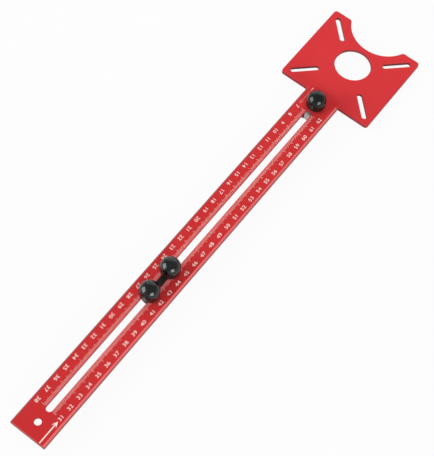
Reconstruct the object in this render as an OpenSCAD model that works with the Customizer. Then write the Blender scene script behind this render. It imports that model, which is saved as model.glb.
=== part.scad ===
// Router circle cutting jig.
// A square base plate carries the router, a slotted ruler bar runs out from its tongue,
// and a slider with two knobs is clamped along the bar and carries the pivot pin.
// The origin is the centre of the cutter hole on the underside of the base plate.
// X runs along the bar away from the plate, Z points up, and all lengths are in millimetres.

/* [Base plate] */
// Length of the base plate along the bar
plate_l = 78.6; // [77:0.1:100]
// Width of the base plate
plate_w = 83.6; // [76:0.1:110]
// Thickness of the base plate and its tongue
plate_t = 3; // [2.8:0.1:5]
// Radius of the outer corners of the plate
plate_corner_r = 2.5; // [1:0.5:4]
// Distance from the cutter hole's centre to the plate edge that faces the bar
hole_to_bar_edge = 42.2; // [41:0.1:46]
// Diameter of the cutter hole
cutter_d = 30; // [20:1:32]
// Radius of the round notch in the far edge
notch_r = 27.8; // [22:0.1:30]
// Depth of the notch from the far edge
notch_depth = 17; // [10:0.5:18]
// Radius that rounds the two corners where the notch meets the far edge
notch_corner_r = 3; // [1:0.5:4]
// Width of the tongue that carries the bar
tongue_w = 24; // [18:1:26]

/* [Router screw slots] */
// Width of the four diagonal slots
screw_slot_w = 4.2; // [4:0.1:6]
// Length of the slots
screw_slot_l = 23.5; // [16:0.5:25]
// Distance from the middle of each slot to the two nearest outer edges of the plate
screw_slot_inset = 13.8; // [12:0.1:15]

/* [Ruler bar] */
// Length of the bar
bar_l = 355.6; // [250:0.1:500]
// Width of the bar
bar_w = 30; // [28:0.1:40]
// Thickness of the bar
bar_t = 5.5; // [5:0.1:8]
// Bevel along both long top edges
bar_bevel = 1.4; // [0.5:0.1:2]
// Thickness of the bar left above the channel and above the recess under each hole
bar_web = 2; // [1.5:0.1:2.5]
// Width of the long slot
bar_slot_w = 5.3; // [5.2:0.1:7]
// Distance from each end of the bar to the near end of the slot
bar_slot_inset = 20.7; // [20.5:0.1:30]
// Diameter of the hole near each end
end_hole_d = 5.4; // [5.2:0.1:6]
// Diameter of the recess under each hole
hole_recess_d = 9.6; // [8:0.1:10]
// Distance from the plate end of the bar to the centre of the hole there
plate_hole_inset = 12.8; // [11:0.1:13]
// Distance from the far end of the bar to the centre of the hole there
far_hole_inset = 11.2; // [10:0.1:13]
// Width of the channel under the slot
channel_w = 13; // [12.5:0.5:18]
// How far the channel runs past each end of the slot
channel_margin = 1.5; // [1:0.5:2]

/* [Locating key] */
// Length of the key in the plate end of the slot
key_l = 3.4; // [3:0.1:10]
// How far the key's top lies below the top of the bar
key_recess = 0.3; // [0.1:0.1:1.5]
// How far the key's foot lies above the underside of the plate
key_lift = 0.5; // [0.2:0.1:1]
// Clearance on each side of the key in the slot
key_gap = 0.2; // [0.1:0.05:0.4]

/* [Screws, washers and knobs] */
// Diameter of the screws
screw_d = 5; // [4:0.1:5]
// Diameter of the countersunk screw heads
head_d = 9.2; // [7.5:0.1:9.6]
// Across-flats width of the socket in each screw head
socket_af = 3; // [2:0.1:3.2]
// Depth of the socket
socket_depth = 1.6; // [1:0.1:1.8]
// How far each screw head is sunk below its surface
head_sink = 0.2; // [0.1:0.05:0.4]
// How far each screw reaches above its washer
screw_reach = 7.5; // [5:0.5:8]
// Height of the chamfer at the tip of each screw
screw_chamfer = 0.6; // [0.3:0.1:1]
// Diameter of the washers
washer_d = 11; // [9:0.5:13]
// Thickness of the washers
washer_t = 1; // [0.6:0.1:1.6]
// Diameter of the knobs
knob_d = 15.5; // [13:0.1:20]
// Height of the knobs
knob_h = 14; // [13:0.5:18]
// Radius that rounds the lower rim of the knobs
knob_foot_r = 1.5; // [0.5:0.1:2.5]
// Diameter of the threaded insert in each knob
insert_d = 7.2; // [6.6:0.1:8.5]
// Height of the threaded insert
insert_h = 8; // [6:0.5:9]
// Room in the knob above the insert or the end of the screw, whichever is higher
insert_room = 1.5; // [0.5:0.5:2]

/* [Slider and pivot pin] */
// Distance from the cutter hole to the pivot pin, the radius of the cut circle
pivot_radius = 253; // [120:0.5:340]
// Distance between the two slider knobs
knob_pitch = 24; // [20:0.5:40]
// Thickness of the shoe under the bar
shoe_t = 3.6; // [2.8:0.1:4]
// Distance from each slider screw to the end of the shoe
shoe_end = 5.5; // [5.2:0.1:12]
// How far the tongue of the shoe lies below the top of the bar
shoe_key_recess = 0.3; // [0.1:0.1:1]
// Diameter of the pivot pin
pin_d = 5; // [4:0.1:8]
// How far the pivot pin reaches below the underside of the plate
pin_reach = 4; // [2:0.5:10]
// Diameter of the shank that holds the pin in the shoe
pin_shank_d = 3; // [2:0.1:3.4]
// Solid height of the shoe left above the shank
pin_cover = 1; // [0.5:0.1:2]
// Chamfer at the tip of the pin
pin_chamfer = 0.8; // [0.3:0.1:1.2]

/* [Clearances] */
// Clearance around a screw in the hole that holds it
hole_gap = 0.1; // [0.05:0.05:0.2]
// Radial clearance between a knob's insert and its screw
thread_gap = 0.05; // [0.02:0.01:0.1]
// Radial clearance between a washer and its screw
washer_gap = 0.15; // [0.1:0.05:0.3]
// Clearance around a piece that is pressed or moulded in
seat_gap = 0.03; // [0.02:0.01:0.05]
// Clearance on each side of the shoe in the channel
shoe_gap = 0.2; // [0.1:0.05:0.4]
// Clearance above the shoe in the channel
shoe_top_gap = 0.1; // [0.05:0.05:0.3]
// Clearance on each side of the shoe's tongue in the slot
shoe_key_gap = 0.15; // [0.1:0.05:0.3]
// Gap between the shoe's tongue and each slider screw
shoe_key_end_gap = 0.4; // [0.2:0.1:1]

/* [Hidden] */
$fn = 64;
hex_sides = 6;
screw_slot_turn = 45;
cut = 1;

plate_x1 = hole_to_bar_edge;
plate_x0 = plate_x1 - plate_l;
plate_mid_x = (plate_x0 + plate_x1) / 2;
screw_slot_x = plate_l / 2 - screw_slot_inset;
screw_slot_y = plate_w / 2 - screw_slot_inset;
notch_x = plate_x0 + notch_depth - notch_r;
notch_corner_x = plate_x0 + notch_corner_r;
notch_corner_y = sqrt(pow(notch_r + notch_corner_r, 2) - pow(notch_corner_x - notch_x, 2));

bar_x0 = plate_x1;
bar_x1 = bar_x0 + bar_l;
bar_z0 = plate_t;
bar_z1 = bar_z0 + bar_t;
slot_x0 = bar_x0 + bar_slot_inset;
slot_x1 = bar_x1 - bar_slot_inset;
channel_d = bar_t - bar_web;
plate_screw_x = bar_x0 + plate_hole_inset;
far_hole_x = bar_x1 - far_hole_inset;

key_w = bar_slot_w - 2 * key_gap;
key_x0 = slot_x0 + key_gap;
key_x1 = slot_x0 + key_l;

head_h = (head_d - screw_d) / 2;
washer_z = bar_z1;
knob_z = washer_z + washer_t;
screw_top = knob_z + screw_reach;

shoe_w = channel_w - 2 * shoe_gap;
shoe_z1 = bar_z0 + channel_d - shoe_top_gap;
shoe_z0 = shoe_z1 - shoe_t;
shoe_half = knob_pitch / 2 + shoe_end;
shoe_key_w = bar_slot_w - 2 * shoe_key_gap;
shoe_key_half = (knob_pitch - screw_d) / 2 - shoe_key_end_gap;
shoe_key_top = bar_z1 - shoe_key_recess;
near_screw_x = pivot_radius - knob_pitch / 2;
far_screw_x = pivot_radius + knob_pitch / 2;

plate_red = [0.80, 0.13, 0.14];
bar_red = [0.77, 0.11, 0.11];
zinc = [0.70, 0.69, 0.66];
steel = [0.62, 0.63, 0.65];
brass = [0.78, 0.62, 0.30];
black = [0.05, 0.05, 0.05];

// A flat bar with round ends that runs along X
module pill(x0, x1, w) {
    translate([x0 + w / 2, -w / 2]) square([x1 - x0 - w, w]);
    for (x = [x0 + w / 2, x1 - w / 2]) translate([x, 0]) circle(d = w);
}

// A rectangle with round corners, centred across Y
module rounded_rectangle(x0, x1, w, r) {
    translate([x0 + r, -w / 2]) square([x1 - x0 - 2 * r, w]);
    translate([x0, -w / 2 + r]) square([x1 - x0, w - 2 * r]);
    for (x = [x0 + r, x1 - r])
        for (y = [-w / 2 + r, w / 2 - r])
            translate([x, y]) circle(r = r);
}

// The outline of the locating key: a round back end and a square front end
module key_outline(gap) {
    back_x = key_x0 + key_w / 2;
    width = key_w + 2 * gap;
    intersection() {
        union() {
            translate([back_x, 0]) circle(d = width);
            translate([back_x, -width / 2]) square([key_x1 + gap - back_x, width]);
        }
        translate([key_x0 - gap, -width / 2]) square([key_x1 - key_x0 + 2 * gap, width]);
    }
}

// The round notch, with its two corners eased into the far edge
module notch_outline() {
    translate([notch_x, 0]) circle(r = notch_r);
    for (side = [-1, 1])
        difference() {
            polygon([
                [notch_x, 0],
                [notch_x, side * notch_corner_y],
                [notch_corner_x, side * notch_corner_y]
            ]);
            translate([notch_corner_x, side * notch_corner_y]) circle(r = notch_corner_r);
        }
}

// Four slots that point at the corners of the plate
module screw_slots() {
    for (end = [-1, 1])
        for (side = [-1, 1])
            translate([plate_mid_x + end * screw_slot_x, side * screw_slot_y])
                rotate(end * side * screw_slot_turn) pill(-screw_slot_l / 2, screw_slot_l / 2, screw_slot_w);
}

// The room that a countersunk screw takes in the piece that holds it, open below z0
module screw_room(x, z0, z1) {
    head_z = z0 + head_sink;
    translate([x, 0, z0 - cut]) cylinder(d = head_d + 2 * hole_gap, h = head_sink + cut);
    translate([x, 0, head_z])
        cylinder(d1 = head_d + 2 * hole_gap, d2 = screw_d + 2 * hole_gap, h = head_h);
    translate([x, 0, z0]) cylinder(d = screw_d + 2 * hole_gap, h = z1 - z0 + cut);
}

// A countersunk screw that stands head down on the surface at z0
module countersunk_screw(x, z0) {
    head_z = z0 + head_sink;
    color(steel)
        translate([x, 0, 0])
            difference() {
                union() {
                    translate([0, 0, head_z]) cylinder(d1 = head_d, d2 = screw_d, h = head_h);
                    translate([0, 0, head_z + head_h])
                        cylinder(d = screw_d, h = screw_top - screw_chamfer - head_z - head_h);
                    translate([0, 0, screw_top - screw_chamfer])
                        cylinder(d1 = screw_d, d2 = screw_d - 2 * screw_chamfer, h = screw_chamfer);
                }
                translate([0, 0, head_z - cut])
                    cylinder(d = socket_af / cos(180 / hex_sides), h = socket_depth + cut, $fn = hex_sides);
            }
}

// A plain washer that lies on the bar
module washer(x) {
    color(zinc)
        translate([x, 0, washer_z])
            difference() {
                cylinder(d = washer_d, h = washer_t);
                translate([0, 0, -cut]) cylinder(d = screw_d + 2 * washer_gap, h = washer_t + 2 * cut);
            }
}

// Half of the knob's section: a straight side under a round dome, with a rounded lower rim
module knob_section() {
    knob_r = knob_d / 2;
    intersection() {
        union() {
            translate([0, knob_h - knob_r]) circle(r = knob_r);
            translate([0, knob_foot_r]) square([knob_r, knob_h - knob_r - knob_foot_r]);
            square([knob_r - knob_foot_r, knob_foot_r]);
            translate([knob_r - knob_foot_r, knob_foot_r]) circle(r = knob_foot_r);
        }
        square([knob_r, knob_h]);
    }
}

// A domed knob, hollow for its insert and for the end of the screw
module knob(x) {
    color(black)
        translate([x, 0, knob_z])
            difference() {
                rotate_extrude() knob_section();
                translate([0, 0, -cut]) cylinder(d = insert_d + 2 * seat_gap, h = insert_h + cut);
                cylinder(d = screw_d + 2 * hole_gap, h = max(insert_h, screw_reach) + insert_room);
            }
}

// The threaded insert of a knob
module knob_insert(x) {
    color(brass)
        translate([x, 0, knob_z])
            difference() {
                cylinder(d = insert_d, h = insert_h);
                translate([0, 0, -cut]) cylinder(d = screw_d + 2 * thread_gap, h = insert_h + 2 * cut);
            }
}

module base_plate() {
    color(plate_red)
        difference() {
            linear_extrude(plate_t)
                difference() {
                    union() {
                        rounded_rectangle(plate_x0, plate_x1, plate_w, plate_corner_r);
                        translate([0, -tongue_w / 2]) square([key_x1, tongue_w]);
                    }
                    circle(d = cutter_d);
                    notch_outline();
                    screw_slots();
                    key_outline(seat_gap);
                }
            screw_room(plate_screw_x, 0, plate_t);
        }
}

module ruler_bar() {
    color(bar_red)
        difference() {
            translate([bar_x0, 0, bar_z0])
                rotate([90, 0, 90])
                    linear_extrude(bar_l)
                        polygon([
                            [-bar_w / 2, 0],
                            [bar_w / 2, 0],
                            [bar_w / 2, bar_t - bar_bevel],
                            [bar_w / 2 - bar_bevel, bar_t],
                            [-bar_w / 2 + bar_bevel, bar_t],
                            [-bar_w / 2, bar_t - bar_bevel]
                        ]);
            translate([0, 0, bar_z0 - cut])
                linear_extrude(bar_t + 2 * cut) pill(slot_x0, slot_x1, bar_slot_w);
            translate([0, 0, bar_z0 - cut])
                linear_extrude(channel_d + cut)
                    pill(slot_x0 - channel_margin, slot_x1 + channel_margin, channel_w);
            for (x = [plate_screw_x, far_hole_x])
                translate([x, 0, bar_z0 - cut]) {
                    cylinder(d = end_hole_d, h = bar_t + 2 * cut);
                    cylinder(d = hole_recess_d, h = channel_d + cut);
                }
        }
}

module locating_key() {
    color(zinc)
        translate([0, 0, key_lift])
            linear_extrude(bar_z1 - key_recess - key_lift) key_outline(0);
}

module plate_screw() countersunk_screw(plate_screw_x, 0);
module plate_washer() washer(plate_screw_x);
module plate_knob() knob(plate_screw_x);
module plate_knob_insert() knob_insert(plate_screw_x);

module slider_shoe() {
    color(black)
        difference() {
            union() {
                translate([0, 0, shoe_z0])
                    linear_extrude(shoe_t)
                        pill(pivot_radius - shoe_half, pivot_radius + shoe_half, shoe_w);
                translate([pivot_radius - shoe_key_half, -shoe_key_w / 2, shoe_z0])
                    cube([2 * shoe_key_half, shoe_key_w, shoe_key_top - shoe_z0]);
            }
            for (x = [near_screw_x, far_screw_x]) screw_room(x, shoe_z0, shoe_z1);
            translate([pivot_radius, 0, shoe_z0 - cut])
                cylinder(d = pin_shank_d + 2 * seat_gap, h = shoe_key_top - pin_cover - shoe_z0 + cut);
        }
}

module pivot_pin() {
    color(steel)
        translate([pivot_radius, 0, 0]) {
            translate([0, 0, shoe_z0 - cut])
                cylinder(d = pin_shank_d, h = shoe_key_top - pin_cover - seat_gap - shoe_z0 + cut);
            translate([0, 0, pin_chamfer - pin_reach])
                cylinder(d = pin_d, h = pin_reach - pin_chamfer + shoe_z0);
            translate([0, 0, -pin_reach])
                cylinder(d1 = pin_d - 2 * pin_chamfer, d2 = pin_d, h = pin_chamfer);
        }
}

module near_screw() countersunk_screw(near_screw_x, shoe_z0);
module near_washer() washer(near_screw_x);
module near_knob() knob(near_screw_x);
module near_knob_insert() knob_insert(near_screw_x);

module far_screw() countersunk_screw(far_screw_x, shoe_z0);
module far_washer() washer(far_screw_x);
module far_knob() knob(far_screw_x);
module far_knob_insert() knob_insert(far_screw_x);

base_plate();
ruler_bar();
locating_key();
plate_screw();
plate_washer();
plate_knob();
plate_knob_insert();
slider_shoe();
pivot_pin();
near_screw();
near_washer();
near_knob();
near_knob_insert();
far_screw();
far_washer();
far_knob();
far_knob_insert();
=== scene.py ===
import math
import bpy
from mathutils import Matrix, Vector


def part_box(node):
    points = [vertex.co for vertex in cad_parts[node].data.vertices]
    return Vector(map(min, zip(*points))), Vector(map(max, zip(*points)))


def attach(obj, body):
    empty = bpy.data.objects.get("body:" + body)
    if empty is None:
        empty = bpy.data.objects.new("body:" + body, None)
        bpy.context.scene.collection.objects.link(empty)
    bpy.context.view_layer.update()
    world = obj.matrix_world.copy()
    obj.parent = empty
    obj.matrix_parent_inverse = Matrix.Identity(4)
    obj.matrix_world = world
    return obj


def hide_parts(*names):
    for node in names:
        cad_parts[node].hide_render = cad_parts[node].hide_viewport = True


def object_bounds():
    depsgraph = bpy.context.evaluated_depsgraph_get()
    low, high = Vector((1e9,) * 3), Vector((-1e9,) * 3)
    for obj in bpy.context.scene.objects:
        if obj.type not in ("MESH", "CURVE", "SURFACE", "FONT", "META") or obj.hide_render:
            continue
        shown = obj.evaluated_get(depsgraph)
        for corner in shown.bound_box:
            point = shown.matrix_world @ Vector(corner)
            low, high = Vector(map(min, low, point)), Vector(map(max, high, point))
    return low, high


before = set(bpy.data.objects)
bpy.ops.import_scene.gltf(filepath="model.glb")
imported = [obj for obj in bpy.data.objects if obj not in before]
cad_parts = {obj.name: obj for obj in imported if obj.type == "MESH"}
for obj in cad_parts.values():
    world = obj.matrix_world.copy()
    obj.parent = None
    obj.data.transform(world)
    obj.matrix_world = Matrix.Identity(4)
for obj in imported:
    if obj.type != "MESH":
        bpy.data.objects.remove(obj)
cad_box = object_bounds()
MM = 0.001
CM = 10 * MM


# Colours and shader nodes

def hex_colour(code):
    """An sRGB hex colour as linear red, green, blue and alpha."""
    channels = [int(code[i:i + 2], 16) / 255 for i in (1, 3, 5)]
    linear = [c / 12.92 if c <= 0.04045 else ((c + 0.055) / 1.055) ** 2.4 for c in channels]
    return (*linear, 1.0)


def add_node(tree, kind, inputs=None, **settings):
    """Adds one node, sets its properties, and sets or links its inputs."""
    node = tree.nodes.new(kind)
    for key, value in settings.items():
        setattr(node, key, value)
    for key, value in (inputs or {}).items():
        if isinstance(value, bpy.types.NodeSocket):
            tree.links.new(value, node.inputs[key])
        else:
            node.inputs[key].default_value = value
    return node


def new_material(name):
    """An empty node material, its tree, and the node that gives the object's own places and normals."""
    material = bpy.data.materials.new(name)
    material.use_nodes = True
    tree = material.node_tree
    tree.nodes.clear()
    return material, tree, add_node(tree, "ShaderNodeTexCoord")


def per_metre(size_mm):
    """Texture scale that gives a pattern of about this size."""
    return 1 / (size_mm * MM)


# Materials

bar_end_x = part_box("ruler_bar")[0].x
knob_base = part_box("plate_knob")[0].z


def anodised_aluminium(name, light, deep, painted_highlight, painted_shade, grain_mm, painted_bevel_from):
    """Blasted and red anodised aluminium: an even satin red with a fine dry grain and slow cloudy changes
    of depth. Its bevels carry a painted highlight where they face +Y and painted shade where they face -Y,
    from a given place along X on. Its upright sides carry painted shade and are darker."""
    cloud_mm = 38
    roughness = 0.5
    roughness_spread = 0.06
    grain_bump = 0.12
    grain_depth = 0.05 * MM
    painted_bevel_fade = 1 * MM
    # How much a normal points up or down on a face, on a bevel, and on a steep and an upright side
    face_level = 0.97
    bevel_level = 0.80
    steep_level = 0.60
    upright_level = 0.30
    # Share of Y in a bevel's normal at which it wholly takes the painted highlight, or wholly the painted
    # shade on the other side
    lit_side_turn = 0.3

    material, tree, where = new_material(name)
    place = where.outputs["Object"]
    cloud = add_node(tree, "ShaderNodeTexNoise", {
        "Vector": place, "Scale": per_metre(cloud_mm), "Detail": 3.0})
    dye = add_node(tree, "ShaderNodeMix", {
        "Factor": cloud.outputs["Fac"], "A": hex_colour(deep), "B": hex_colour(light)}, data_type="RGBA")

    facing = add_node(tree, "ShaderNodeSeparateXYZ", {"Vector": where.outputs["Normal"]})
    level = add_node(tree, "ShaderNodeMath", {0: facing.outputs["Z"]}, operation="ABSOLUTE")
    tilted = add_node(tree, "ShaderNodeMapRange", {
        "Value": level.outputs["Value"], "From Min": face_level, "From Max": bevel_level})
    upright = add_node(tree, "ShaderNodeMapRange", {
        "Value": level.outputs["Value"], "From Min": steep_level, "From Max": upright_level})
    # Painted highlight on bevels facing +Y, painted shade on bevels facing -Y
    lit_side = add_node(tree, "ShaderNodeMapRange", {
        "Value": facing.outputs["Y"], "From Min": -lit_side_turn, "From Max": lit_side_turn})
    along = add_node(tree, "ShaderNodeSeparateXYZ", {"Vector": place})
    # The painted bevel highlight and shade start at this place along X
    painted_bevel_reach = add_node(tree, "ShaderNodeMapRange", {
        "Value": along.outputs["X"], "From Min": painted_bevel_from - painted_bevel_fade, "From Max": painted_bevel_from})
    painted_bevel_mask = add_node(tree, "ShaderNodeMath", {
        0: tilted.outputs["Result"], 1: painted_bevel_reach.outputs["Result"]}, operation="MULTIPLY")

    # The bevel tone: painted shade towards -Y, painted highlight towards +Y
    bevel = add_node(tree, "ShaderNodeMix", {
        "Factor": lit_side.outputs["Result"],
        "A": hex_colour(painted_shade), "B": hex_colour(painted_highlight)}, data_type="RGBA")
    edge = add_node(tree, "ShaderNodeMix", {
        "Factor": painted_bevel_mask.outputs["Value"],
        "A": dye.outputs["Result"], "B": bevel.outputs["Result"]}, data_type="RGBA")
    # Painted shade on the upright sides
    side = add_node(tree, "ShaderNodeMix", {
        "Factor": upright.outputs["Result"],
        "A": edge.outputs["Result"], "B": hex_colour(painted_shade)}, data_type="RGBA")

    # The real blast grain is about 0.1 mm, so it is drawn coarser in order to show
    grain = add_node(tree, "ShaderNodeTexNoise", {
        "Vector": place, "Scale": per_metre(grain_mm), "Detail": 2.0})
    polish = add_node(tree, "ShaderNodeMapRange", {
        "Value": grain.outputs["Fac"],
        "To Min": roughness - roughness_spread, "To Max": roughness + roughness_spread})
    dents = add_node(tree, "ShaderNodeBump", {
        "Height": grain.outputs["Fac"], "Strength": grain_bump, "Distance": grain_depth})
    shader = add_node(tree, "ShaderNodeBsdfPrincipled", {
        "Base Color": side.outputs["Result"], "Roughness": polish.outputs["Result"],
        "Metallic": 0.3, "Specular IOR Level": 0.1, "Specular Tint": hex_colour(light),
        "Normal": dents.outputs["Normal"]})
    add_node(tree, "ShaderNodeOutputMaterial", {"Surface": shader.outputs["BSDF"]})
    return material


def plated_metal(name, light, deep, marks_mm, roughness):
    """Plated or turned metal: a bright surface with fine tool marks and slight blotches."""
    blotch_mm = 4
    roughness_spread = 0.08
    marks_bump = 0.1
    marks_depth = 0.02 * MM

    material, tree, where = new_material(name)
    place = where.outputs["Object"]
    blotch = add_node(tree, "ShaderNodeTexNoise", {
        "Vector": place, "Scale": per_metre(blotch_mm), "Detail": 4.0})
    tone = add_node(tree, "ShaderNodeMix", {
        "Factor": blotch.outputs["Fac"], "A": hex_colour(deep), "B": hex_colour(light)}, data_type="RGBA")
    # Real tool marks are about 0.1 mm apart, so they are drawn coarser in order to show
    marks = add_node(tree, "ShaderNodeTexNoise", {
        "Vector": place, "Scale": per_metre(marks_mm), "Detail": 2.0})
    polish = add_node(tree, "ShaderNodeMapRange", {
        "Value": marks.outputs["Fac"],
        "To Min": roughness - roughness_spread, "To Max": roughness + roughness_spread})
    dents = add_node(tree, "ShaderNodeBump", {
        "Height": marks.outputs["Fac"], "Strength": marks_bump, "Distance": marks_depth})
    shader = add_node(tree, "ShaderNodeBsdfPrincipled", {
        "Base Color": tone.outputs["Result"], "Roughness": polish.outputs["Result"],
        "Metallic": 1.0, "Normal": dents.outputs["Normal"]})
    add_node(tree, "ShaderNodeOutputMaterial", {"Surface": shader.outputs["BSDF"]})
    return material


def moulded_plastic(name, light, deep, ripple_mm, ripple_depth_mm, roughness, foot_roughness, ior):
    """Moulded black plastic: a deep black with the faint ripple of its mould. A knob is polished on its dome
    and duller at its foot."""
    flow_mm = 5
    roughness_spread = 0.03
    ripple_bump = 0.1
    foot_top = knob_base + 4.5 * MM
    dome_start = knob_base + 7.0 * MM

    material, tree, where = new_material(name)
    place = where.outputs["Object"]
    flow = add_node(tree, "ShaderNodeTexNoise", {
        "Vector": place, "Scale": per_metre(flow_mm), "Detail": 2.0})
    tone = add_node(tree, "ShaderNodeMix", {
        "Factor": flow.outputs["Fac"], "A": hex_colour(deep), "B": hex_colour(light)}, data_type="RGBA")
    ripple = add_node(tree, "ShaderNodeTexNoise", {
        "Vector": place, "Scale": per_metre(ripple_mm), "Detail": 1.0})
    height = add_node(tree, "ShaderNodeSeparateXYZ", {"Vector": place})
    gloss = add_node(tree, "ShaderNodeMapRange", {
        "Value": height.outputs["Z"], "From Min": foot_top, "From Max": dome_start,
        "To Min": foot_roughness, "To Max": roughness})
    uneven = add_node(tree, "ShaderNodeMapRange", {
        "Value": ripple.outputs["Fac"], "To Min": -roughness_spread, "To Max": roughness_spread})
    polish = add_node(tree, "ShaderNodeMath", {
        0: gloss.outputs["Result"], 1: uneven.outputs["Result"]}, operation="ADD")
    dents = add_node(tree, "ShaderNodeBump", {
        "Height": ripple.outputs["Fac"], "Strength": ripple_bump, "Distance": ripple_depth_mm * MM})
    shader = add_node(tree, "ShaderNodeBsdfPrincipled", {
        "Base Color": tone.outputs["Result"], "Roughness": polish.outputs["Value"],
        "IOR": ior, "Normal": dents.outputs["Normal"]})
    add_node(tree, "ShaderNodeOutputMaterial", {"Surface": shader.outputs["BSDF"]})
    return material


def printed_ink(name, light, thin, kept):
    """White screen printed ink: flat and matt, with small thin spots where the red shows through. The ink in
    the first millimetres of the bar's plate end is kept best."""
    spot_mm = 0.9
    thin_cover = 0.3
    full_cover = 0.55
    kept_to = bar_end_x + 2.2 * MM
    rubbed_from = bar_end_x + 3.4 * MM

    material, tree, where = new_material(name)
    place = where.outputs["Object"]
    cover = add_node(tree, "ShaderNodeTexNoise", {
        "Vector": place, "Scale": per_metre(spot_mm), "Detail": 3.0})
    spots = add_node(tree, "ShaderNodeMapRange", {
        "Value": cover.outputs["Fac"], "From Min": thin_cover, "From Max": full_cover})
    spotted = add_node(tree, "ShaderNodeMix", {
        "Factor": spots.outputs["Result"], "A": hex_colour(thin), "B": hex_colour(light)}, data_type="RGBA")
    along = add_node(tree, "ShaderNodeSeparateXYZ", {"Vector": place})
    spared = add_node(tree, "ShaderNodeMapRange", {
        "Value": along.outputs["X"], "From Min": rubbed_from, "From Max": kept_to})
    tone = add_node(tree, "ShaderNodeMix", {
        "Factor": spared.outputs["Result"],
        "A": spotted.outputs["Result"], "B": hex_colour(kept)}, data_type="RGBA")
    shader = add_node(tree, "ShaderNodeBsdfPrincipled", {
        "Base Color": tone.outputs["Result"], "Roughness": 0.6})
    add_node(tree, "ShaderNodeOutputMaterial", {"Surface": shader.outputs["BSDF"]})
    return material


# Length of the bar's bevels at the plate that carry no painted highlight or shade
unpainted_bevel_l = 4.5 * MM

# The pale bevel colour is a painted highlight; the dark colour is painted shade on bevels facing -Y and on
# upright sides
plate_finish = anodised_aluminium(
    "red_anodised_aluminium_sheet", light="#D13A3D", deep="#C93438", painted_highlight="#D8585C", painted_shade="#8A383C",
    grain_mm=0.9, painted_bevel_from=cad_box[0].x)
bar_finish = anodised_aluminium(
    "red_anodised_aluminium_bar", light="#CA3537", deep="#C22F31", painted_highlight="#DA6868", painted_shade="#904548",
    grain_mm=0.7, painted_bevel_from=bar_end_x + unpainted_bevel_l)
zinc_finish = plated_metal("zinc_plated_steel", "#C4BAB4", "#A59B96", marks_mm=0.5, roughness=0.5)
steel_finish = plated_metal("bright_turned_steel", "#C4C6C8", "#A3A5A8", marks_mm=0.4, roughness=0.28)
brass_finish = plated_metal("turned_brass", "#D4B466", "#B9984C", marks_mm=0.4, roughness=0.3)
knob_finish = moulded_plastic(
    "polished_black_phenolic", "#101414", "#070909",
    ripple_mm=2.5, ripple_depth_mm=0.01, roughness=0.11, foot_roughness=0.35, ior=1.43)
# The knob at the plate shines less than the two on the slider
plate_knob_finish = moulded_plastic(
    "dusty_black_phenolic", "#101414", "#070909",
    ripple_mm=2.5, ripple_depth_mm=0.01, roughness=0.11, foot_roughness=0.35, ior=1.36)
shoe_finish = moulded_plastic(
    "black_moulded_nylon", "#0C0C0D", "#060607",
    ripple_mm=0.5, ripple_depth_mm=0.04, roughness=0.5, foot_roughness=0.5, ior=1.45)
ink_finish = printed_ink("white_screen_print_ink", "#FBF2E8", "#F2CEC4", kept="#FBF2E8")
arrow_ink_finish = printed_ink("thin_white_screen_print_ink", "#F8DEDA", "#F2C6C0", kept="#F8DEDA")
rubbed_ink_finish = printed_ink("rubbed_white_screen_print_ink", "#D65C5C", "#CA3C3F", kept="#EEA6A2")


# Modelling helpers

def deselect_all():
    bpy.ops.object.select_all(action="DESELECT")


def take(obj):
    """Makes this the only selected object and the active one."""
    deselect_all()
    obj.select_set(True)
    bpy.context.view_layer.objects.active = obj


def settle(obj):
    """Puts the object's place, turn and size into its mesh."""
    take(obj)
    bpy.ops.object.transform_apply(location=True, rotation=True, scale=True)


def join(objs, name):
    """Makes one piece of several."""
    deselect_all()
    for obj in objs:
        obj.select_set(True)
    bpy.context.view_layer.objects.active = objs[0]
    bpy.ops.object.join()
    objs[0].name = name
    return objs[0]


def dress(obj, body, slot, material, *nodes):
    """Gives a finished piece its material, the body it rides and the nodes it stands for, which it hides.
    Its slot is not used.
    """
    obj.data.materials.clear()
    obj.data.materials.append(material)
    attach(obj, body)
    if nodes:
        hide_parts(*nodes)


def apply_all(obj):
    """Applies every modifier of the piece in its order."""
    take(obj)
    for modifier in list(obj.modifiers):
        bpy.ops.object.modifier_apply(modifier=modifier.name)


def eased_copy(node, name, ease_mm, steps):
    """A copy of a solid whose sharp edges are eased, so that they catch the light."""
    weld = 0.001 * MM
    flat_angle = math.radians(0.5)
    sharp_angle = math.radians(32)
    piece = bpy.data.objects.new(name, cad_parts[node].data.copy())
    bpy.context.scene.collection.objects.link(piece)
    take(piece)
    bpy.ops.object.mode_set(mode="EDIT")
    bpy.ops.mesh.select_all(action="SELECT")
    bpy.ops.mesh.customdata_custom_splitnormals_clear()
    bpy.ops.mesh.remove_doubles(threshold=weld)
    bpy.ops.mesh.dissolve_limited(angle_limit=flat_angle)
    bpy.ops.object.mode_set(mode="OBJECT")
    ease = piece.modifiers.new("ease", "BEVEL")
    ease.width = ease_mm * MM
    ease.segments = steps
    ease.limit_method = "ANGLE"
    ease.angle_limit = sharp_angle
    even = piece.modifiers.new("even", "WEIGHTED_NORMAL")
    even.keep_sharp = True
    bpy.ops.object.shade_smooth()
    apply_all(piece)
    return piece


def draw_chain(name, points):
    """A chain of edges through these points, drawn by extruding one vertex. It stays in edit mode."""
    deselect_all()
    bpy.ops.mesh.primitive_plane_add(size=MM, location=(0, 0, 0))
    piece = bpy.context.object
    piece.name = name
    bpy.ops.object.mode_set(mode="EDIT")
    bpy.ops.mesh.select_all(action="SELECT")
    bpy.ops.mesh.merge(type="CENTER")
    here = Vector(points[0])
    bpy.ops.transform.translate(value=here)
    for point in points[1:]:
        step = Vector(point) - here
        bpy.ops.mesh.extrude_region_move(TRANSFORM_OT_translate={"value": step})
        here = Vector(point)
    return piece


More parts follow.
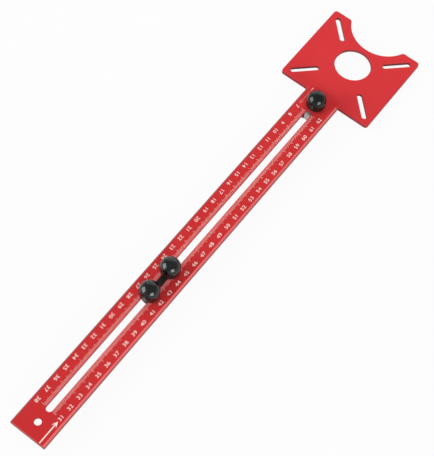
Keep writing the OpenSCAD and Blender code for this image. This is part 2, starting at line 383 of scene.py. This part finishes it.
def turned(name, x, section, sides):
    """A piece turned on the vertical axis at x from a section of radius and height pairs, in millimetres."""
    weld = 0.002 * MM
    smooth_angle = math.radians(35)
    piece = draw_chain(name, [(x + r * MM, 0, z * MM) for r, z in section])
    bpy.ops.mesh.select_all(action="SELECT")
    bpy.ops.mesh.spin(steps=sides, angle=2 * math.pi, center=(x, 0, 0), axis=(0, 0, 1))
    bpy.ops.mesh.select_all(action="SELECT")
    bpy.ops.mesh.remove_doubles(threshold=weld)
    bpy.ops.mesh.normals_make_consistent(inside=False)
    bpy.ops.object.mode_set(mode="OBJECT")
    take(piece)
    bpy.ops.object.shade_smooth_by_angle(angle=smooth_angle)
    return piece


def arc(centre_r, centre_z, radius, start, end, count):
    """Points of a round in a turned section, from one angle to another in degrees."""
    turns = [math.radians(start + (end - start) * i / count) for i in range(count + 1)]
    return [(centre_r + radius * math.cos(t), centre_z + radius * math.sin(t)) for t in turns]


def turned_size(node):
    """A turned solid's middle along X in metres, and its radius, foot and top in millimetres."""
    low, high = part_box(node)
    return (low.x + high.x) / 2, (high.y - low.y) / 2 / MM, low.z / MM, high.z / MM


# The plate, the bar, the key and the shoe with eased edges

soft_ease_mm = 0.25
crisp_ease_mm = 0.12
eased_pieces = [
    ("base_plate", "notched_base_plate", soft_ease_mm, 3, "plate_and_bar", "red_plate", plate_finish),
    ("ruler_bar", "slotted_ruler_bar", crisp_ease_mm, 2, "plate_and_bar", "red_bar", bar_finish),
    ("locating_key", "slot_key", soft_ease_mm, 2, "plate_and_bar", "zinc_steel", zinc_finish),
    ("slider_shoe", "clamp_shoe", soft_ease_mm, 2, "slider", "black_shoe", shoe_finish)]
for node, name, ease_mm, steps, body, slot, finish in eased_pieces:
    dress(eased_copy(node, name, ease_mm, steps), body, slot, finish, node)


# Knobs, washers and the pivot pin, turned, with their sizes in millimetres

knob_foot_round = 1.5
insert_seat_r = 3.63
insert_seat_h = 8.0
screw_room_r = 2.6
screw_room_h = 9.5
foot_steps = 6
dome_steps = 18
# The dome's arc stops just short of its pole, which is a point of its own
dome_end = 89
knob_sides = 72
washer_bore_r = 2.65
washer_ease = 0.15
washer_sides = 64
# Room under a washer for the thickness of the ink
print_clearance = 0.04
pin_shank_r = 1.5
pin_tip_round = 1.0
tip_steps = 5
pin_sides = 48


def dome_knob(spot):
    """A domed knob with a rounded foot, hollow for its insert and the end of its screw."""
    x, radius, foot, top = turned_size(spot + "_knob")
    seat = foot + insert_seat_h
    room = foot + screw_room_h
    section = [(0, room), (screw_room_r, room), (screw_room_r, seat)]
    section += [(insert_seat_r, seat), (insert_seat_r, foot)]
    section += arc(radius - knob_foot_round, foot + knob_foot_round, knob_foot_round, -90, 0, foot_steps)
    section += arc(0, top - radius, radius, 0, dome_end, dome_steps)
    section.append((0, top))
    return turned(spot + "_dome_knob", x, section, knob_sides)


def flat_washer(spot):
    """A flat washer with eased rims."""
    x, rim, foot, top = turned_size(spot + "_washer")
    foot += print_clearance
    inner_rim = rim - washer_ease
    section = [(washer_bore_r, foot), (inner_rim, foot), (rim, foot + washer_ease), (rim, top - washer_ease)]
    section += [(inner_rim, top), (washer_bore_r, top), (washer_bore_r, foot)]
    return turned(spot + "_flat_washer", x, section, washer_sides)


def pivot_pin():
    """The pin under the shoe, rounded at its tip, with a thinner shank in the shoe."""
    x, radius, tip, top = turned_size("pivot_pin")
    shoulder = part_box("slider_shoe")[0].z / MM
    tip_r = radius - pin_tip_round
    section = [(0, tip), (tip_r, tip)]
    section += arc(tip_r, tip + pin_tip_round, pin_tip_round, -90, 0, tip_steps)
    section += [(radius, shoulder), (pin_shank_r, shoulder), (pin_shank_r, top), (0, top)]
    return turned("turned_pivot_pin", x, section, pin_sides)


washer_bodies = {"plate": "plate_and_bar", "near": "slider", "far": "slider"}
for spot, body in washer_bodies.items():
    finish = plate_knob_finish if spot == "plate" else knob_finish
    dress(dome_knob(spot), spot + "_knob", "black_knob", finish, spot + "_knob")
    dress(flat_washer(spot), body, "zinc_steel", zinc_finish, spot + "_washer")
dress(pivot_pin(), "slider", "bright_steel", steel_finish, "pivot_pin")


# The screws and inserts keep their shape and get their finish

for spot in washer_bodies:
    for node, finish in ((spot + "_screw", steel_finish), (spot + "_knob_insert", brass_finish)):
        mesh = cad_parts[node].data
        mesh.materials.clear()
        mesh.materials.append(finish)


# The printed scale

bar_low, bar_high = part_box("ruler_bar")
bar_mid_x = (bar_low.x + bar_high.x) / 2
face_z = bar_high.z
# The ink is sunk into the face by as much as it stands above it
ink_t = 0.02 * MM
slot_half = 2.65 * MM
tick_w = 0.14 * MM
tick_start = slot_half + 0.5 * MM
mm_tick_end = slot_half + 2.85 * MM
half_tick_end = slot_half + 3.5 * MM
cm_tick_end = slot_half + 4.2 * MM
first_label = 7
last_label = 38
centimetres = last_label - first_label
twin_shift = 24
scale_zero = -5.3 * MM
label_y = 10.55 * MM
digit_h = 2.75 * MM
pair_w = 4.4 * MM
stroke_offset = -0.009
curve_steps = 3
raw_depth = 0.01


def scale_x(label):
    """Place along the bar of a label in centimetres."""
    return label * CM + scale_zero


def tick_row(inner, outer, pitch, count):
    """Equal ticks side by side, each a thin block of ink."""
    deselect_all()
    bpy.ops.mesh.primitive_cube_add(size=1, location=(scale_x(first_label), -(inner + outer) / 2, face_z))
    row = bpy.context.object
    row.scale = (tick_w, outer - inner, 2 * ink_t)
    settle(row)
    copies = row.modifiers.new("copies", "ARRAY")
    copies.use_relative_offset = False
    copies.use_constant_offset = True
    copies.constant_offset_displace = (pitch, 0, 0)
    copies.count = count
    apply_all(row)
    return row


def raw_number(text):
    """One number as a mesh of unit size, with the lowest and highest corner of its box."""
    deselect_all()
    bpy.ops.object.text_add(location=(0, 0, 0))
    number = bpy.context.object
    number.data.body = text
    number.data.align_x = "CENTER"
    number.data.align_y = "CENTER"
    number.data.size = 1.0
    number.data.offset = stroke_offset
    number.data.resolution_u = curve_steps
    number.data.extrude = raw_depth
    bpy.ops.object.convert(target="MESH")
    number = bpy.context.object
    places = [vertex.co for vertex in number.data.vertices]
    low = Vector([min(place[axis] for place in places) for axis in range(3)])
    high = Vector([max(place[axis] for place in places) for axis in range(3)])
    return number, low, high


def stretch_of(text, width):
    """Stretch along the bar that makes this number so wide."""
    sample, low, high = raw_number(text)
    bpy.data.objects.remove(sample)
    return width / (high.x - low.x)


digit_stretch = stretch_of(str(last_label), pair_w)


def printed_number(text, x):
    """One number of the scale, its top towards the slot."""
    number, low, high = raw_number(text)
    size = high - low
    number.scale = (digit_stretch, digit_h / size.y, 2 * ink_t / size.z)
    number.location = Vector((x, -label_y, face_z)) - (low + high) / 2 * number.scale
    settle(number)
    return number


def arrow(name):
    """The arrow at the end of a row, drawn as one outline."""
    tail_x = bar_low.x + 0.4 * MM
    tip_x = bar_low.x + 19.8 * MM
    y = -10.65 * MM
    shaft = 0.42 * MM
    barb = 2.05 * MM
    head = 4.7 * MM
    notch = 2.9 * MM
    half = [(tail_x, shaft), (tip_x - notch, shaft), (tip_x - head, barb), (tip_x, 0)]
    outline = [(x, y + side, face_z - ink_t) for x, side in half]
    outline += [(x, y - side, face_z - ink_t) for x, side in reversed(half[:-1])]
    piece = draw_chain(name, outline)
    bpy.ops.mesh.select_all(action="SELECT")
    bpy.ops.mesh.edge_face_add()
    bpy.ops.mesh.extrude_region_move(TRANSFORM_OT_translate={"value": (0, 0, 2 * ink_t)})
    bpy.ops.mesh.select_all(action="SELECT")
    bpy.ops.mesh.normals_make_consistent(inside=False)
    bpy.ops.object.mode_set(mode="OBJECT")
    return piece


def turn_round(piece):
    """Turns a piece by half a turn about the middle of the bar."""
    piece.matrix_world = Matrix.Translation((2 * bar_mid_x, 0, 0)) @ Matrix.Rotation(math.pi, 4, "Z")
    settle(piece)


scale_rows = [("low", 0, rubbed_ink_finish, False), ("high", twin_shift, arrow_ink_finish, True)]
for row_name, shift, arrow_finish, turned_round in scale_rows:
    ticks = [
        tick_row(tick_start, mm_tick_end, MM, 10 * centimetres + 1),
        tick_row(mm_tick_end, half_tick_end, CM / 2, 2 * centimetres + 1),
        tick_row(half_tick_end, cm_tick_end, CM, centimetres + 1)]
    numbers = [printed_number(str(n + shift), scale_x(n)) for n in range(first_label, last_label + 1)]
    printed = [
        (join(ticks, row_name + "_scale_ticks"), ink_finish),
        (join(numbers, row_name + "_scale_numbers"), ink_finish),
        (arrow(row_name + "_scale_arrow"), arrow_finish)]
    for piece, finish in printed:
        if turned_round:
            turn_round(piece)
        dress(piece, "plate_and_bar", "white_print", finish)


# Floor and room, with sizes in metres

sweep_r = 20
sweep_sides = 64
rim_h = 4.5
fibre_mm = 60
white_share = 0.94
room_strength = 0.5
white = (1, 1, 1, 1)


def seeing_rays(tree):
    """One for rays from the camera and those that reflect or pass through, else zero."""
    path = add_node(tree, "ShaderNodeLightPath")
    seen = add_node(tree, "ShaderNodeMath", {
        0: path.outputs["Is Camera Ray"], 1: path.outputs["Is Glossy Ray"]}, operation="MAXIMUM")
    either = add_node(tree, "ShaderNodeMath", {
        0: seen.outputs["Value"], 1: path.outputs["Is Transmission Ray"]}, operation="MAXIMUM")
    return either.outputs["Value"]


def paper_sweep(name):
    """White paper: pale grey in the light, which keeps a soft shadow, and nearly white to rays that see."""
    material, tree, where = new_material(name)
    fibre = add_node(tree, "ShaderNodeTexNoise", {
        "Vector": where.outputs["Object"], "Scale": per_metre(fibre_mm), "Detail": 2.0})
    tone = add_node(tree, "ShaderNodeMix", {
        "Factor": fibre.outputs["Fac"],
        "A": hex_colour("#CCCCCC"), "B": hex_colour("#D2D2D2")}, data_type="RGBA")
    matt = add_node(tree, "ShaderNodeBsdfDiffuse", {"Color": tone.outputs["Result"]})
    glow = add_node(tree, "ShaderNodeEmission", {"Color": white, "Strength": 1.0})
    share = add_node(tree, "ShaderNodeMath", {0: seeing_rays(tree), 1: white_share}, operation="MULTIPLY")
    sheet = add_node(tree, "ShaderNodeMixShader", {
        "Fac": share.outputs["Value"], 1: matt.outputs["BSDF"], 2: glow.outputs["Emission"]})
    add_node(tree, "ShaderNodeOutputMaterial", {"Surface": sheet.outputs["Shader"]})
    return material


def raised_sweep(name):
    """A round floor with a raised rim, so that low views also see paper behind the object."""
    upward = 0.5
    middle = (bar_mid_x, 0, cad_box[0].z + rim_h / 2)
    deselect_all()
    bpy.ops.mesh.primitive_cylinder_add(vertices=sweep_sides, radius=sweep_r, depth=rim_h, location=middle)
    sheet = bpy.context.object
    sheet.name = name
    bpy.ops.object.mode_set(mode="EDIT")
    bpy.ops.mesh.select_mode(type="FACE")
    bpy.ops.mesh.select_all(action="DESELECT")
    bpy.ops.object.mode_set(mode="OBJECT")
    for face in sheet.data.polygons:
        face.select = face.normal.z > upward
    bpy.ops.object.mode_set(mode="EDIT")
    bpy.ops.mesh.delete(type="ONLY_FACE")
    bpy.ops.mesh.select_all(action="SELECT")
    bpy.ops.mesh.flip_normals()
    bpy.ops.object.mode_set(mode="OBJECT")
    settle(sheet)
    return sheet


floor = raised_sweep("pale_floor")
floor.data.materials.append(paper_sweep("white_paper_sweep"))

world = bpy.data.worlds.new("white_studio")
bpy.context.scene.world = world
world.use_nodes = True
world.node_tree.nodes.clear()
room = add_node(world.node_tree, "ShaderNodeBackground", {"Color": white, "Strength": room_strength})
add_node(world.node_tree, "ShaderNodeOutputWorld", {"Surface": room.outputs["Background"]})


# Lamps, with angles in degrees, sizes and distances in metres and power in watts

lamp_aim = Vector((0.12, 0, 0.01))


def softbox(name, azimuth, elevation, distance, width, height, power):
    """A soft rectangular lamp that faces the object, at angles from +X and from the floor."""
    lamp = bpy.data.lights.new(name, "AREA")
    lamp.shape = "RECTANGLE"
    lamp.size = width
    lamp.size_y = height
    lamp.energy = power
    holder = bpy.data.objects.new(name, lamp)
    bpy.context.scene.collection.objects.link(holder)
    swing = Matrix.Rotation(math.radians(azimuth), 3, "Z")
    lift = Matrix.Rotation(math.radians(-elevation), 3, "Y")
    way = swing @ lift @ Vector((1, 0, 0))
    holder.location = lamp_aim + way * distance
    holder.rotation_euler = (-way).to_track_quat("-Z", "Y").to_euler()


softbox("left_softbox", azimuth=-47, elevation=18, distance=6.0, width=5.0, height=4.8, power=510)
softbox("right_softbox", azimuth=60, elevation=15, distance=6.0, width=3.4, height=3.2, power=285)
softbox("back_softbox", azimuth=209, elevation=27, distance=1.4, width=2.2, height=1.3, power=9.0)


# Camera at the photograph's viewing angle

camera_place = Vector((0.55963, 0.20743, 0.81577))
camera_aim = Vector((0.18738, 0.00329, 0))
camera_roll = math.radians(9.374)

lens = bpy.data.cameras.new("photo_camera")
lens.sensor_width = 36
lens.lens = 96.69
camera = bpy.data.objects.new("photo_camera", lens)
bpy.context.scene.collection.objects.link(camera)
camera.location = camera_place
unrolled = (camera_aim - camera.location).to_track_quat("-Z", "Y").to_matrix().to_4x4()
camera.rotation_euler = (unrolled @ Matrix.Rotation(camera_roll, 4, "Z")).to_euler()
bpy.context.scene.camera = camera
bpy.context.scene.view_settings.view_transform = "Standard"
